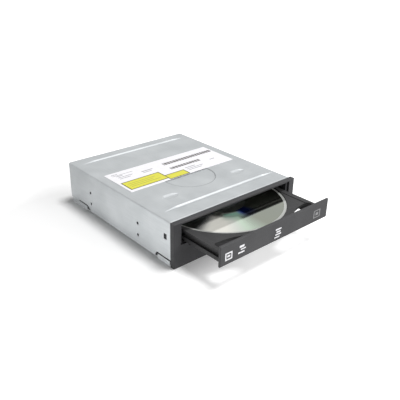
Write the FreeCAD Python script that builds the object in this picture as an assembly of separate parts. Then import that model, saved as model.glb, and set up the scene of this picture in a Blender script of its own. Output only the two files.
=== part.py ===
import FreeCAD, Part
import math
import os
from FreeCAD import Vector

# Driving dimensions in millimetres. X runs to the right as seen from the
# front, Y is the depth behind the bezel's back face, Z is up from the bottom.
CASE_W = 146.0
CASE_H = 41.4
CASE_D = 166.0
SHEET = 0.8
BEND_R = 1.4
COVER_EDGE_Z = 1.5
TAB_TOP_Z = 4.2
SLIT = 1.5
PRESS = 0.7
RING_PRESS = 0.5
RING_R = 26.0
BEAD_HALF = 2.8
BEAD_END = 14.0
DIMPLE_HALF = 4.6
DIMPLE_LEN = 10.0
LIP_SLOPE_Y = 2.4
LIP_SLOPE_Z = 0.45
REAR_SLOPE = 8.0
REAR_FLAP_Z = 26.0

BEZEL_OVER = 1.0
BEZEL_RISE = 0.6
BEZEL_T = 5.0
BEZEL_SKIN = 2.6
BEZEL_EDGE_R = 0.6

# Mounting holes of a half-height 5.25 inch bay.
HOLE_FRONT = 47.4
HOLE_PITCH = 79.25
HOLE_INSET = 3.15
SIDE_HOLE_Z = 10.0
SIDE_PITCH = 11.84
M3_R = 1.5

# Tray, its bezel and the disc, given with the tray shut.
TRAY_OUT = 46.0
DISC_R = 60.0
DISC_T = 1.2
DISC_HOLE_R = 7.5
SEAT_GAP = 0.5
FRONT_LAND = 4.5
TRAY_SIDE_GAP = 6.4
TRAY_REAR_GAP = 11.0
TRAY_Z0 = 22.4
TRAY_UNDER_Z = 27.6
DISC_SEAT_Z = 30.1
PLATE_Z = 32.0
PLATE_T = 2.2
TRAY_TOP_Z = 32.5
RIM_W = 5.6
GROOVE_Z0 = 26.0
GROOVE_Z1 = 30.8
GROOVE_IN = 2.2
GUIDE_GAP = 0.6
SLOT_HW = 20.0
SMALL_RECESS_R = 40.5
SMALL_RECESS_H = 1.2
RIB_IN = 6.1
RIB_HALF = 1.5
DOOR_INSET = 7.8
DOOR_T = 2.0
DOOR_Z0 = 21.6
DOOR_Z1 = 40.0
DOOR_GAP = 0.7
MOUTH_GAP = 2.7
MOUTH_Z0 = 21.8
MOUTH_Z1 = 38.6
WALL = 1.6

# Plastic main frame.
FRAME_GAP = 2.0
FRAME_WALL = 2.0
FRAME_Z0 = 3.0
FRAME_TOP = 36.0
FRAME_Y0 = 1.2
FRAME_REAR_GAP = 8.0
FLOOR_Z0 = 13.2
FLOOR_Z1 = 15.0
WELL_MARGIN = 22.7
GUIDE_REAR_GAP = 46.0
FOOT_R = 3.6
FOOT_SCREW_R = 1.2
CUP_R = 4.6
CUP_RISE = 1.2
BOSS_R = 2.8
POST_R = 2.5
SMALL_SCREW_R = 1.0
HEAD_T = 1.3

# Loading gear train.
RACK_MODULE = 1.0
TRAIN_MODULE = 0.8
DRIVE_TEETH = 16
WHEEL_TEETH = 36
PINION_TEETH = 14
RACK_IN = 33.6
GEAR_Y = 18.0
RACK_Y0 = 13.0
BACKLASH = 0.2
ADDENDUM = 0.8
DEDENDUM = 1.1
WHEEL_Z = (20.5, 23.4)
PULLEY_Z = (16.0, 19.4)
PULLEY_R = 12.5
MOTOR_PULLEY_R = 3.0
GROOVE_DEPTH = 1.6
BELT_IN = 0.85
BELT_Z0 = 17.0
BELT_SIDE = 1.4
BELT_SPAN = 38.0
MOTOR_Y = 17.0
MOTOR_R = 10.0
RUN_GAP = 0.05

# Traverse with the spindle and the pickup.
LIFT_BAR = 6.0
PIVOT_R = 1.5
LIFT_Z0 = 9.0
LIFT_Z1 = 14.0
DECK_Z = 15.0
DECK_T = 1.2
DAMPER_R = 2.4
ROD_IN = 19.5
ROD_Z = 12.5
ROD_R = 1.5
SCREW_IN = 11.5
SCREW_Z = 10.8
SCREW_R = 1.3
PICKUP_IN = 24.0
SLED_HALF_Y = 12.0
SLED_Z0 = 8.5
SLED_TOP = 14.4
SPINDLE_R = 12.5
TURNTABLE_R = 14.5
TURNTABLE_Z = 22.0
CLAMP_R = 12.0
BRIDGE_HALF = 15.0
CAM_HW = 40.0
CAM_Z0 = 6.5
CAM_T = 2.2
FEED_MOTOR_R = 4.0
FEED_MOTOR_LEN = 12.5

# Boards, front panel and rear connectors.
BOARD_T = 1.2
BOARD_Z = 2.8
BOARD_LEN = 74.0
CONNECTOR_D = 12.5
PIN_PITCH = 2.54
PIN_HALF = 0.32
POWER_W = 21.4
POWER_TOP = 14.8
DATA_W = 58.4
FRONT_BOARD_Z = 5.2
FRONT_BOARD_D = 23.0
BUTTON_IN = 21.0
BUTTON_HW = 6.0
BUTTON_HALF_H = 3.0
LED_IN = 12.0
LED_HW = 1.6
LED_HALF_H = 0.8
LED_Y = 5.6
RELEASE_IN = 10.0
PANEL_Z = 10.0
CAP_GAP = 0.35
LABEL_T = 0.15
LABEL_LEN = 46.5
LABEL_REAR_GAP = 51.5

# Sizes that follow from the ones above.
ORIGIN_Y = HOLE_FRONT + HOLE_PITCH / 2
HW = CASE_W / 2
INNER_HW = HW - SHEET
TOP_Z = CASE_H - SHEET
BEZEL_HW = HW + BEZEL_OVER
BEZEL_H = CASE_H + BEZEL_RISE
BOTTOM_X = HW - HOLE_INSET
HOLE_YS = (HOLE_FRONT, HOLE_FRONT + HOLE_PITCH)
HOLE_ZS = (SIDE_HOLE_Z, SIDE_HOLE_Z + SIDE_PITCH)
TAB_FRONT = (2.0, 19.0)
TAB_REAR = (CASE_D - 30.5, CASE_D - 1.5)
SNAP_Y = (6.0, 10.0)
SNAP_Z = (23.2, 28.5)

FRAME_HW = INNER_HW - FRAME_GAP
FRAME_Y1 = CASE_D - FRAME_REAR_GAP
WALL_IN = FRAME_HW - FRAME_WALL
WELL_HW = FRAME_HW - WELL_MARGIN
FOOT_X = FRAME_HW - 7.7
FOOT_YS = (12.0, CASE_D - 24.0)
BOSS_X = FRAME_HW - 3.8
BOARD_POST_X = FRAME_HW - 17.2
BOARD_Y0 = CASE_D - BOARD_LEN
BOARD_TOP = BOARD_Z + BOARD_T
BOARD_POST_YS = (BOARD_Y0 + 4.0, CASE_D - 18.0)
CONNECTOR_Y = CASE_D - CONNECTOR_D

TRAY_HW = WALL_IN - TRAY_SIDE_GAP
TRAY_LEN = CASE_D - TRAY_REAR_GAP
TRAY_Y0 = -BEZEL_T + DOOR_T
WEB_X = TRAY_HW - GROOVE_IN
RIB_X = -TRAY_HW + RIB_IN
SPINDLE_Y = FRONT_LAND + SEAT_GAP + DISC_R
DOOR_HW = BEZEL_HW - DOOR_INSET
MOUTH_HW = TRAY_HW + MOUTH_GAP
MOUTH_LIP = BEZEL_T - DOOR_T - 0.2
GUIDE_Z = (GROOVE_Z0 + GUIDE_GAP, GROOVE_Z1 - GUIDE_GAP)

WELL_Y0 = SPINDLE_Y - 29.0
LIFT_Y0 = WELL_Y0 + 2.0
LIFT_Y1 = CASE_D - 14.0
LIFT_HW = WELL_HW - 1.5
LIFT_MID_Z = (LIFT_Z0 + LIFT_Z1) / 2
PIVOT_Y = LIFT_Y1 - 4.0
DECK_HW = WELL_HW - 1.0
DECK_Y0 = LIFT_Y0 + 6.0
DECK_Y1 = LIFT_Y1 - 6.0
DECK_TOP = DECK_Z + DECK_T
DAMPER_SPOTS = [(x, y) for x in (3.0 - LIFT_HW, LIFT_HW - 3.0) for y in (DECK_Y0 + 4.0, DECK_Y1 - 4.0)]
ROD_X = DECK_HW - ROD_IN
SCREW_X = DECK_HW - SCREW_IN
PICKUP_Y = SPINDLE_Y + PICKUP_IN
PICKUP_TRAVEL = DECK_Y1 - PICKUP_Y - SLED_HALF_Y - 11.0
CAM_Y = (LIFT_Y0 - CAM_T - 3.0, LIFT_Y0 - 3.0)
BRIDGE_Y = (SPINDLE_Y - BRIDGE_HALF, SPINDLE_Y + BRIDGE_HALF)
BRIDGE_SPOTS = [(x, y) for x in (-BOSS_X, BOSS_X) for y in (SPINDLE_Y - 11.0, SPINDLE_Y + 11.0)]

GEAR_X = WEB_X - RACK_IN
TRAIN_X = GEAR_X - TRAIN_MODULE * (WHEEL_TEETH + PINION_TEETH) / 2
MOTOR_X = TRAIN_X - BELT_SPAN
RACK_X = GEAR_X + RACK_MODULE * DRIVE_TEETH / 2
BELT_Z = (BELT_Z0, BELT_Z0 + BELT_SIDE)

BUTTON_X = HW - BUTTON_IN
LED_X = BUTTON_X - LED_IN
RELEASE_X = LED_X - RELEASE_IN
FRONT_BOARD_X = (LED_X - 12.0, BUTTON_X + 5.4)
FRONT_BOARD_Y = (LED_Y + 0.4, LED_Y + 0.4 + FRONT_BOARD_D)
FRONT_BOARD_TOP = FRONT_BOARD_Z + BOARD_T
FRONT_POSTS = [(x, FRONT_BOARD_Y[1] - 3.0) for x in (FRONT_BOARD_X[0] + 3.5, BUTTON_X + 2.0)]
POWER_X = (4.2 - FRAME_HW, 4.2 - FRAME_HW + POWER_W)
DATA_X = (POWER_X[1] + 6.6, POWER_X[1] + 6.6 + DATA_W)
JUMPER_X = (DATA_X[1] + 3.6, DATA_X[1] + 12.6)
AUDIO_X = (FRAME_HW - 26.2, FRAME_HW - 14.2)


def box(x0, x1, y0, y1, z0, z1):
    return Part.makeBox(x1 - x0, y1 - y0, z1 - z0, Vector(x0, y0, z0))


def rod(x, y, z0, z1, r):
    return Part.makeCylinder(r, z1 - z0, Vector(x, y, z0))


def rod_y(x, z, y0, y1, r):
    return Part.makeCylinder(r, y1 - y0, Vector(x, y0, z), Vector(0, 1, 0))


def rod_x(y, z, x0, x1, r):
    return Part.makeCylinder(r, x1 - x0, Vector(x0, y, z), Vector(1, 0, 0))


def plan(points, z0, z1):
    """An outline in X and Y, raised from z0 to z1."""
    ring = [Vector(x, y, z0) for x, y in points]
    return Part.Face(Part.makePolygon(ring + ring[:1])).extrude(Vector(0, 0, z1 - z0))


def profile(points, x0, x1):
    """An outline in Y and Z, drawn out from x0 to x1."""
    ring = [Vector(x0, y, z) for y, z in points]
    return Part.Face(Part.makePolygon(ring + ring[:1])).extrude(Vector(x1 - x0, 0, 0))


def section(points, y0, y1):
    """An outline in X and Z, drawn out from y0 to y1."""
    ring = [Vector(x, y0, z) for x, z in points]
    return Part.Face(Part.makePolygon(ring + ring[:1])).extrude(Vector(0, y1 - y0, 0))


def ten_sided(a, b, r):
    return [(a + r * math.cos(math.pi * k / 5), b + r * math.sin(math.pi * k / 5)) for k in range(10)]


def peg(x, y, z0, z1, r):
    """A small fixed post, screw or screw hole, ten-sided to keep its faces few."""
    return plan(ten_sided(x, y, r), z0, z1)


def fused(*pieces):
    return pieces[0].multiFuse(list(pieces[1:]))


def less(shape, *cutters):
    return shape.cut(list(cutters))


def mirrored(shape):
    return shape.mirror(Vector(0, 0, 0), Vector(1, 0, 0))


def both_sides(*pieces):
    return [piece for shape in pieces for piece in (shape, mirrored(shape))]


def softened(shape, radius, pick):
    return shape.makeFillet(radius, [e for e in shape.Edges if pick(e.CenterOfMass)])


def bevelled(shape, size, pick):
    return shape.makeChamfer(size, [e for e in shape.Edges if pick(e.CenterOfMass)])


def near(a, b):
    return abs(a - b) < 1e-4


def group(shapes):
    return Part.makeCompound(shapes)


def save(name, shape):
    """Move a piece so that the bottom mounting pattern is the origin, and write it."""
    moved = shape.copy()
    moved.translate(Vector(0, -ORIGIN_Y, 0))
    if not moved.isValid():
        raise ValueError(name + " is not a valid shape")
    moved.exportStep("parts/" + name + ".step")


def pyramid(base, tip):
    """A solid with flat sides from a base outline to its tip."""
    sides = [Part.Face(Part.makePolygon([a, b, tip, a])) for a, b in zip(base, base[1:] + base[:1])]
    return Part.Solid(Part.Shell(sides + [Part.Face(Part.makePolygon(base + base[:1]))]))


def channel(x0, x1, y, half, end, z):
    """The hollow of a pressed bead: a shallow pan whose ends run out to nothing."""
    line = [(y - half, z), (y - 0.35 * half, z - PRESS), (y + 0.35 * half, z - PRESS), (y + half, z)]
    left = pyramid([Vector(x0, a, b) for a, b in line], Vector(x0 - end, y, z))
    right = pyramid([Vector(x1, a, b) for a, b in line], Vector(x1 + end, y, z))
    return fused(profile(line, x0, x1), left, right)


def press_bead(sheet, x0, x1, y, half, end):
    """Press a bead into the top sheet: the same form comes out on its underside."""
    return sheet.fuse(channel(x0, x1, y, half, end, TOP_Z)).cut(channel(x0, x1, y, half, end, CASE_H))


def press_ring(sheet):
    """Press a round pan over the spindle into the top sheet."""
    below = Part.makeCone(RING_R, RING_R + RING_PRESS, RING_PRESS, Vector(0, SPINDLE_Y, TOP_Z - RING_PRESS))
    pan = Part.makeCone(RING_R - RING_PRESS, RING_R, RING_PRESS, Vector(0, SPINDLE_Y, CASE_H - RING_PRESS))
    return sheet.fuse(below).cut(pan)


def top_cover():
    """Zinc-plated steel cover: top, both sides and a flap down the back."""
    outer = softened(
        box(-HW, HW, 0, CASE_D, COVER_EDGE_Z, CASE_H),
        BEND_R,
        lambda c: near(abs(c.x), HW) and near(c.z, CASE_H),
    )
    inner = softened(
        box(-INNER_HW, INNER_HW, -1, CASE_D + 1, 0, TOP_Z),
        BEND_R - SHEET,
        lambda c: near(abs(c.x), INNER_HW) and near(c.z, TOP_Z),
    )
    flap = box(-INNER_HW, INNER_HW, CASE_D - SHEET, CASE_D, REAR_FLAP_Z, TOP_Z)
    shell = less(outer, inner).fuse(flap)
    shell = press_bead(shell, BEAD_END - HW + 8, HW - BEAD_END - 8, CASE_D - 13.5, BEAD_HALF, BEAD_END)
    shell = press_bead(shell, BEAD_END - HW + 8, HW - BEAD_END - 3, 19.0, BEAD_HALF, BEAD_END)
    shell = press_bead(shell, 26 - HW, 26 - HW + DIMPLE_LEN, 40.0, DIMPLE_HALF, DIMPLE_HALF)
    shell = press_bead(shell, HW - 35, HW - 35 + DIMPLE_LEN, 42.0, DIMPLE_HALF, DIMPLE_HALF)
    shell = press_ring(shell)
    slit_top = TAB_TOP_Z + SLIT
    front = [
        (-1, 0), (-1, slit_top), (TAB_FRONT[1] + 1, slit_top), (TAB_FRONT[1] + 4, COVER_EDGE_Z),
        (TAB_FRONT[1] + 4, 0),
    ]
    rear = [
        (TAB_REAR[0] - REAR_SLOPE, 0), (TAB_REAR[0] - REAR_SLOPE, COVER_EDGE_Z),
        (TAB_REAR[0] - 1, slit_top),
    ]
    rear += [
        (TAB_REAR[0] + 15, slit_top), (TAB_REAR[0] + 15, TAB_TOP_Z + 0.1), (CASE_D + 1, TAB_TOP_Z + 0.1),
        (CASE_D + 1, 0),
    ]
    lip = [
        (-1, CASE_H + 1), (-1, CASE_H - LIP_SLOPE_Z), (0, CASE_H - LIP_SLOPE_Z), (LIP_SLOPE_Y, CASE_H),
        (LIP_SLOPE_Y, CASE_H + 1),
    ]
    cutters = [profile(line, -HW - 1, HW + 1) for line in (front, rear, lip)]
    cutters += [rod_x(y, z, -HW - 1, HW + 1, M3_R) for y in HOLE_YS for z in HOLE_ZS]
    cutters.append(box(-HW - 1, HW + 1, SNAP_Y[0], SNAP_Y[1], SNAP_Z[0], SNAP_Z[1]))
    return less(shell, *cutters)


def bottom_cover():
    """Steel bottom plate with four upturned tabs, a pressed panel and raised screw cups."""
    pieces = [box(0.1 - INNER_HW, INNER_HW - 0.1, 1.0, CASE_D - 1.0, 0, SHEET)]
    for y0, y1 in (TAB_FRONT, TAB_REAR):
        pieces += both_sides(box(INNER_HW - 1, HW, y0, y1, 0, SHEET), box(INNER_HW, HW, y0, y1, 0, TAB_TOP_Z))
    cutters = []
    for x in (-FOOT_X, FOOT_X):
        for y in FOOT_YS:
            pieces.append(peg(x, y, 0, SHEET + CUP_RISE, CUP_R + SHEET))
            cutters.append(peg(x, y, -1, CUP_RISE, CUP_R))
            cutters.append(peg(x, y, 0, SHEET + CUP_RISE + 1, FOOT_SCREW_R + 0.1))
    cutters += [rod(x, y, -1, SHEET + 1, M3_R) for x in (-BOTTOM_X, BOTTOM_X) for y in HOLE_YS]
    y0 = FOOT_YS[0] + 18.0
    y1 = BOARD_Y0 - 6.0
    pieces.append(box(-WELL_HW, WELL_HW, y0, y1, PRESS, SHEET + PRESS))
    cutters.append(box(SHEET - WELL_HW, WELL_HW - SHEET, y0 + SHEET, y1 - SHEET, -1, PRESS))
    return less(fused(*pieces), *cutters)


def foot_screws():
    """Cross-head screws that stand in the bottom's cups and hold the main frame."""
    screws = []
    for x in (-FOOT_X, FOOT_X):
        for y in FOOT_YS:
            head = peg(x, y, 0.15, CUP_RISE, 2.5)
            shank = peg(x, y, CUP_RISE, 8.0, FOOT_SCREW_R)
            slots = [
                box(x - 1.5, x + 1.5, y - 0.25, y + 0.25, 0, 0.7),
                box(x - 0.25, x + 0.25, y - 1.5, y + 1.5, 0, 0.7),
            ]
            screws.append(less(fused(head, shank), *slots))
    return group(screws)


def front_bezel():
    """Moulded front with the tray mouth, the button hole and two side latches."""
    body = softened(
        box(-BEZEL_HW, BEZEL_HW, -BEZEL_T, 0, 0, BEZEL_H),
        BEZEL_EDGE_R,
        lambda c: near(c.y, -BEZEL_T),
    )
    front = -BEZEL_T - 1
    hollow = box(2 - BEZEL_HW, BEZEL_HW - 2, -BEZEL_T + BEZEL_SKIN, 1, 2.0, DOOR_Z0 - DOOR_GAP - 1.8)
    shelf = box(RIB_X - 5, RIB_X + 5, -BEZEL_T + BEZEL_SKIN, 0, DOOR_Z0 - 5.8, DOOR_Z0 - DOOR_GAP)
    cutters = [
        box(
            -DOOR_HW - DOOR_GAP, DOOR_HW + DOOR_GAP, front, -MOUTH_LIP, DOOR_Z0 - DOOR_GAP,
            DOOR_Z1 + DOOR_GAP,
        ),
        box(-MOUTH_HW, MOUTH_HW, front, 1, MOUTH_Z0, MOUTH_Z1),
        box(RIB_X - 2.5, RIB_X + 2.5, front, 1, DOOR_Z0 - 4.0, MOUTH_Z0 + 1),
        box(
            BUTTON_X - BUTTON_HW, BUTTON_X + BUTTON_HW, front, 1, PANEL_Z - BUTTON_HALF_H,
            PANEL_Z + BUTTON_HALF_H,
        ),
        box(LED_X - LED_HW, LED_X + LED_HW, front, 1, PANEL_Z - LED_HALF_H, PANEL_Z + LED_HALF_H),
        rod_y(RELEASE_X, PANEL_Z, front, 1, 0.9),
    ]
    body = less(less(body, hollow).fuse(shelf), *cutters)
    arm = box(FRAME_HW + 0.4, INNER_HW - 0.2, -1.0, SNAP_Y[1] + 1.5, SNAP_Z[0] - 0.6, SNAP_Z[1] + 0.6)
    tooth = [
        (INNER_HW - 0.3, SNAP_Y[0] + 0.3), (HW - 0.1, SNAP_Y[0] + 0.3), (INNER_HW - 0.3, SNAP_Y[1] - 0.3),
    ]
    latch = plan(tooth, SNAP_Z[0] + 0.4, SNAP_Z[1] - 0.4)
    return fused(body, *both_sides(arm, latch))


def eject_button():
    """Push button, held behind the bezel by its flange."""
    w = BUTTON_HW - CAP_GAP
    h = BUTTON_HALF_H - CAP_GAP
    skin_y = -BEZEL_T + BEZEL_SKIN
    cap = box(BUTTON_X - w, BUTTON_X + w, -BEZEL_T - 0.8, skin_y + 0.4, PANEL_Z - h, PANEL_Z + h)
    cap = bevelled(cap, 0.4, lambda c: near(c.y, -BEZEL_T - 0.8))
    flange = box(
        BUTTON_X - w - 1.4, BUTTON_X + w + 1.4, skin_y, skin_y + 1.0, PANEL_Z - h - 1.4, PANEL_Z + h + 1.4,
    )
    stem_y = FRAME_Y0 + FRAME_WALL + 0.2
    stem = box(BUTTON_X - 1.0, BUTTON_X + 1.0, skin_y + 1.0, stem_y, PANEL_Z - 1.0, PANEL_Z + 1.0)
    return fused(cap, flange, stem)


def led_lens():
    """Clear light pipe from the front board's lamp to the bezel."""
    pipe = box(
        LED_X - LED_HW, LED_X + LED_HW, -BEZEL_T - 0.2, LED_Y, PANEL_Z - LED_HALF_H, PANEL_Z + LED_HALF_H,
    )
    return bevelled(pipe, 0.3, lambda c: near(c.y, -BEZEL_T - 0.2))


def cam_hook(x):
    """Hook under the frame's floor in which the cam slide runs."""
    front = CAM_Y[0] - 1.4
    line = [(front, FLOOR_Z0 + 0.5), (front, CAM_Z0 - 1.5), (CAM_Y[1], CAM_Z0 - 1.5)]
    line += [(CAM_Y[1], CAM_Z0), (CAM_Y[0], CAM_Z0), (CAM_Y[0], FLOOR_Z0 + 0.5)]
    return profile(line, x - 2.5, x + 2.5)


def main_frame():
    """Black moulded chassis that carries the tray guides, gear posts and traverse."""
    front = FRAME_Y0 + FRAME_WALL
    pieces = [
        box(-FRAME_HW, FRAME_HW, FRAME_Y0, front, FRAME_Z0, MOUTH_Z0 - 2.0),
        box(-FRAME_HW, FRAME_HW, FRAME_Y0, FRAME_Y1, FLOOR_Z0, FLOOR_Z1),
        rod(GEAR_X, GEAR_Y, FLOOR_Z1, TRAY_UNDER_Z - 0.6, 2.0),
        rod(TRAIN_X, GEAR_Y, FLOOR_Z1, WHEEL_Z[1] + 0.4, 1.5),
        cam_hook(10.0 - CAM_HW),
        cam_hook(CAM_HW - 10.0),
    ]
    pieces += both_sides(
        box(WALL_IN, FRAME_HW, FRAME_Y0, FRAME_Y1, FRAME_Z0, FRAME_TOP),
        box(MOUTH_HW + 0.3, FRAME_HW, FRAME_Y0, front, MOUTH_Z0 - 3.0, FRAME_TOP),
        box(WEB_X + GUIDE_GAP, FRAME_HW, FRAME_Y0, CASE_D - GUIDE_REAR_GAP, *GUIDE_Z),
        box(WELL_HW, WELL_HW + 3.4, PIVOT_Y - 4.0, PIVOT_Y + 3.0, LIFT_Z0 - 1.0, FLOOR_Z0 + 0.5),
    )
    cutters = [
        box(-WELL_HW, WELL_HW, WELL_Y0, LIFT_Y1 + 2.0, 0, FLOOR_Z1 + 1),
        profile(ten_sided(PIVOT_Y, LIFT_MID_Z, PIVOT_R + RUN_GAP), -WELL_HW - 4, WELL_HW + 4),
        peg(MOTOR_X, MOTOR_Y, FLOOR_Z0 - 1, FLOOR_Z1 + 1, 3.4),
        box(BUTTON_X - 1.6, BUTTON_X + 1.6, FRAME_Y0 - 1, front + 1, PANEL_Z - 1.6, PANEL_Z + 1.6),
        box(
            LED_X - LED_HW, LED_X + LED_HW, FRAME_Y0 - 1, front + 1, PANEL_Z - LED_HALF_H,
            PANEL_Z + LED_HALF_H,
        ),
        section(ten_sided(RELEASE_X, PANEL_Z, 1.2), FRAME_Y0 - 1, front + 1),
        box(POWER_X[0] - 0.4, POWER_X[1] + 0.4, CONNECTOR_Y - 0.4, CASE_D, 0, POWER_TOP + 0.3),
    ]
    for x, y in [(x, y) for x in (-FOOT_X, FOOT_X) for y in FOOT_YS]:
        pieces.append(peg(x, y, SHEET + CUP_RISE, FLOOR_Z0 + 0.5, FOOT_R))
        cutters.append(peg(x, y, 0, 9.0, FOOT_SCREW_R))
    for x, y in BRIDGE_SPOTS:
        pieces.append(peg(x, y, GUIDE_Z[0], FRAME_TOP, BOSS_R))
        cutters.append(peg(x, y, FRAME_TOP - 6.0, FRAME_TOP + 1, SMALL_SCREW_R))
    spots = [(x, y, BOARD_TOP) for x in (-BOARD_POST_X, BOARD_POST_X) for y in BOARD_POST_YS]
    spots += [(x, y, FRONT_BOARD_TOP) for x, y in FRONT_POSTS]
    for x, y, z in spots:
        pieces.append(peg(x, y, z, FLOOR_Z0 + 0.5, POST_R))
        cutters.append(peg(x, y, z - 1, z + 4.5, SMALL_SCREW_R))
    for y in HOLE_YS:
        cutters += both_sides(box(WALL_IN - 3.0, FRAME_HW + 1, y - 3.5, y + 3.5, 0, FLOOR_Z0 - 0.4))
        cutters += both_sides(box(
            WALL_IN - 1, FRAME_HW + 1, y - 2.4, y + 2.4, HOLE_ZS[1] - 2.4, HOLE_ZS[1] + 2.4,
        ))
    return less(fused(*pieces), *cutters)


def corner_window():
    """Opening through a front corner of the tray, curved round the disc's recess."""
    left = WEB_X - 35.0
    right = WEB_X - 1.0
    rim = Part.Arc(Vector(left, 3.8, 0), Vector(left + 15.6, 10.2, 0), Vector(right - 2.4, 12.2, 0)).toShape()
    line = [(right - 2.4, 12.2), (right, 9.8), (right, 0.6), (left, 0.6), (left, 3.8)]
    rest = Part.makePolygon([Vector(x, y, 0) for x, y in line])
    return Part.Face(Part.Wire([rim] + rest.Edges)).extrude(Vector(0, 0, TRAY_TOP_Z + 5))


def rack(z0, z1):
    """Straight gear teeth along the tray's right side, facing the drive gear."""
    pitch = math.pi * RACK_MODULE
    half = (pitch / 2 - BACKLASH) / 2
    slope = math.tan(math.radians(20))
    tip = RACK_X - ADDENDUM * RACK_MODULE
    root = RACK_X + DEDENDUM * RACK_MODULE
    at_tip = half - ADDENDUM * RACK_MODULE * slope
    at_root = half + DEDENDUM * RACK_MODULE * slope
    points = [(root + 3.4, RACK_Y0), (root, RACK_Y0)]
    for k in range(int((TRAY_LEN - RACK_Y0 - 1) / pitch)):
        y = RACK_Y0 + pitch * (k + 0.5)
        points += [(root, y - at_root), (tip, y - at_tip), (tip, y + at_tip), (root, y + at_root)]
    points += [(root, TRAY_LEN), (root + 3.4, TRAY_LEN)]
    return plan(points, z0, z1)


def tray():
    """Moulded disc tray: recess, pickup window, side channels, raised rims and drive rack."""
    inner_hw = WEB_X - WALL
    recess_r = DISC_R + SEAT_GAP
    body = box(-TRAY_HW, TRAY_HW, TRAY_Y0, TRAY_LEN, TRAY_Z0, PLATE_Z)
    rim = box(TRAY_HW - RIM_W, TRAY_HW, TRAY_Y0, TRAY_LEN, PLATE_Z - 0.2, TRAY_TOP_Z)
    thin = less(
        box(
            TRAY_HW - 41.0, inner_hw, TRAY_Y0 + 2.0, SPINDLE_Y - recess_r / 2, TRAY_UNDER_Z - 1,
            PLATE_Z - PLATE_T,
        ),
        rod(0, SPINDLE_Y, 0, PLATE_Z, recess_r + WALL),
    )
    cutters = [
        box(-inner_hw, inner_hw, TRAY_Y0 + 2.0, TRAY_LEN + 1, TRAY_Z0 - 1, TRAY_UNDER_Z),
        rod(0, SPINDLE_Y, DISC_SEAT_Z, TRAY_TOP_Z + 1, recess_r),
        rod(0, SPINDLE_Y, DISC_SEAT_Z - SMALL_RECESS_H, PLATE_Z, SMALL_RECESS_R),
        rod(0, SPINDLE_Y, 0, PLATE_Z, SLOT_HW + 1.0),
        box(-SLOT_HW, SLOT_HW, SPINDLE_Y, SPINDLE_Y + recess_r, 0, PLATE_Z + 1),
    ]
    cutters += both_sides(
        box(WEB_X, TRAY_HW + 1, TRAY_Y0 - 1, TRAY_LEN + 1, GROOVE_Z0, GROOVE_Z1), thin, corner_window(),
    )
    body = less(fused(body, *both_sides(rim)), *cutters)
    rib = box(RIB_X - RIB_HALF, RIB_X + RIB_HALF, TRAY_Y0, TRAY_LEN - 5, DOOR_Z0 - 0.6, TRAY_UNDER_Z + 0.5)
    over_wheel = WHEEL_Z[1] + 0.5
    tail = box(-WEB_X, GEAR_X - 12.0, TRAY_LEN - 1.6, TRAY_LEN, over_wheel, TRAY_UNDER_Z + 0.5)
    return fused(body, rib, tail, rack(over_wheel, TRAY_UNDER_Z + 0.5))


def tray_bezel():
    """Front cover of the tray, level with the bezel when the tray is shut."""
    door = box(-DOOR_HW, DOOR_HW, -BEZEL_T, TRAY_Y0, DOOR_Z0, DOOR_Z1)
    return bevelled(door, 0.5, lambda c: near(c.y, -BEZEL_T))


def disc():
    """Polycarbonate disc with its centre hole."""
    return less(
        rod(0, SPINDLE_Y, DISC_SEAT_Z, DISC_SEAT_Z + DISC_T, DISC_R),
        rod(0, SPINDLE_Y, 0, CASE_H, DISC_HOLE_R),
    )


def gear(x, y, teeth, module, z0, z1, turn):
    """Involute spur gear with 20 degree flanks and a tooth centre at the given turn."""
    pitch_r = teeth * module / 2
    base_r = pitch_r * math.cos(math.radians(20))
    tip_r = pitch_r + ADDENDUM * module
    root_r = pitch_r - DEDENDUM * module
    start_r = max(base_r, root_r)
    half = (math.pi * module / 2 - BACKLASH) / 2 / pitch_r
    at_pitch = math.tan(math.radians(20)) - math.radians(20)
    flank = []
    for r in (start_r, (start_r + tip_r) / 2, tip_r):
        lean = math.acos(min(1, base_r / r))
        flank.append((r, half + at_pitch - (math.tan(lean) - lean)))
    flank[0] = (root_r, flank[0][1])
    points = []
    for tooth in range(teeth):
        centre = turn + 2 * math.pi * tooth / teeth
        for r, a in flank:
            points.append((x + r * math.cos(centre - a), y + r * math.sin(centre - a)))
        for r, a in reversed(flank):
            points.append((x + r * math.cos(centre + a), y + r * math.sin(centre + a)))
    return plan(points, z0, z1)


def drive_gear():
    """Large wheel with the rack pinion moulded on top, turning on a frame post."""
    pitch = math.pi * RACK_MODULE
    rest = RACK_Y0 + pitch / 2 - TRAY_OUT
    turn = (rest - GEAR_Y) % pitch / (RACK_MODULE * DRIVE_TEETH / 2) + math.pi / DRIVE_TEETH
    pinion = gear(GEAR_X, GEAR_Y, DRIVE_TEETH, RACK_MODULE, WHEEL_Z[1] - 0.1, TRAY_UNDER_Z - 0.5, turn)
    wheel = gear(GEAR_X, GEAR_Y, WHEEL_TEETH, TRAIN_MODULE, WHEEL_Z[0], WHEEL_Z[1], math.pi)
    hub = rod(GEAR_X, GEAR_Y, FLOOR_Z1, WHEEL_Z[0] + 0.1, 4.2)
    return less(fused(pinion, wheel, hub), rod(GEAR_X, GEAR_Y, 0, CASE_H, 2.0 + RUN_GAP))


def grooved(x, y, r):
    """Pulley rim that narrows to its middle, where the belt lies."""
    mid = (PULLEY_Z[0] + PULLEY_Z[1]) / 2
    lower = Part.makeCone(r, r - GROOVE_DEPTH, mid - PULLEY_Z[0], Vector(x, y, PULLEY_Z[0]))
    upper = Part.makeCone(r - GROOVE_DEPTH, r, PULLEY_Z[1] - mid, Vector(x, y, mid))
    return lower.fuse(upper)


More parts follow.
